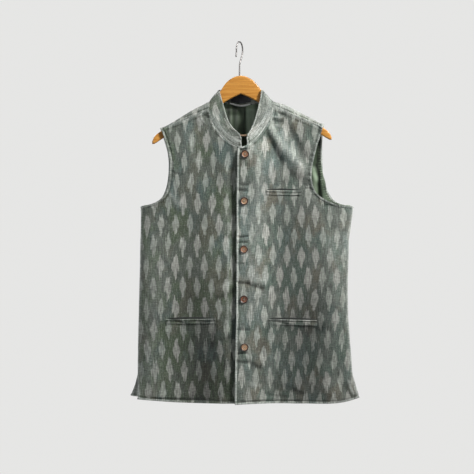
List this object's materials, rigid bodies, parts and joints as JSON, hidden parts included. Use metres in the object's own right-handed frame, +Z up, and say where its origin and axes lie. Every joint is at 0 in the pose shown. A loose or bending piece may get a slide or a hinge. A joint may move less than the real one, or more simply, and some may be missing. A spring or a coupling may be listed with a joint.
{
  "type": "nehru jacket on a wooden hanger",
  "caption": "Sleeveless stand-collar jacket in ikat cloth, buttoned up the front with welt pockets and side vents, hung on a contoured wooden hanger with a wire hook.",
  "frame": {"origin": "the inner top of the hanger's hook, where the rail or line that holds it touches", "axes": "+Z up; the jacket's front faces -Y; the wearer's left side is at +X"},
  "size_m": [0.5609, 0.0815, 0.8904],
  "materials": {
    "wood": "clear satin varnish",
    "steel": "bright wire",
    "ikat_cloth": "grey-green handloom cotton with pale ikat spindles",
    "lining_cloth": "dark green satin",
    "button_shell": "polished coconut shell",
    "label_cloth": "dark woven, blank",
    "label_tape": "white tape, blank",
    "brass": "dull"
  },
  "bodies": {
    "root": {"hanger_board": "wood", "hanger_hook": "steel", "back": "ikat_cloth", "back_lining": "lining_cloth", "right_front": "ikat_cloth", "left_front": "ikat_cloth", "collar": "ikat_cloth", "neck_label": "label_cloth", "label_tape": "label_tape", "collar_hook": "brass", "breast_welt": "ikat_cloth", "left_pocket_welt": "ikat_cloth", "right_pocket_welt": "ikat_cloth", "button_1": "button_shell", "button_2": "button_shell", "button_3": "button_shell", "button_4": "button_shell", "button_5": "button_shell"}
  },
  "joints": []
}
